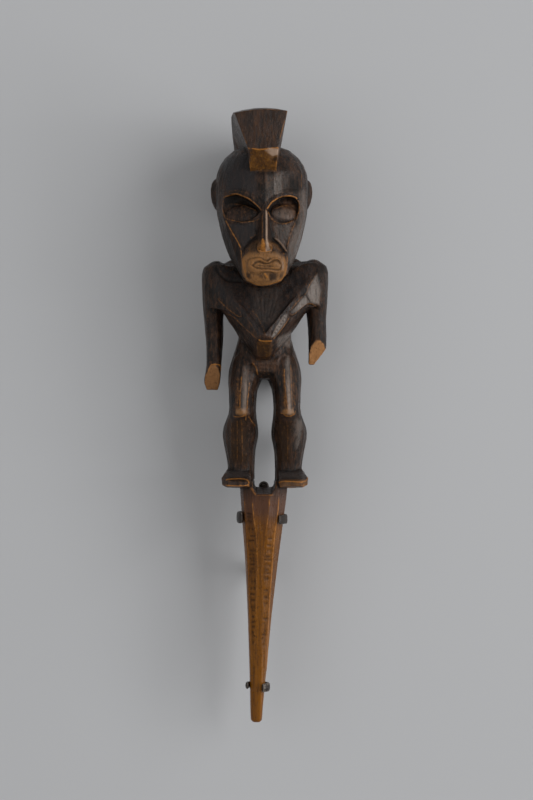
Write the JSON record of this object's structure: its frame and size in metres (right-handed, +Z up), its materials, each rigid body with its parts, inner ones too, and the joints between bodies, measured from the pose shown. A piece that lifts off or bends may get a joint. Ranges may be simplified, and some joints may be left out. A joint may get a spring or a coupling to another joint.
{
  "type": "carved wooden figure",
  "caption": "Wooden standing figure with a crest on its head, carved in one with a long tapering stake, in a dark metal display bracket.",
  "frame": {"origin": "centre of the bounding box, on the plane that the figure lies on", "axes": "+Z up and out of the figure's front, +Y along the figure from the stake's tip to its crest, +X to the right of someone who looks at its face"},
  "size_m": [0.0868, 0.4168, 0.089],
  "materials": {
    "carved_wood": "dark oiled patina, worn to orange-brown at the edges",
    "bracket_metal": "satin"
  },
  "bodies": {
    "root": {"deity_figure": "carved_wood", "display_bracket": "bracket_metal"}
  },
  "joints": []
}
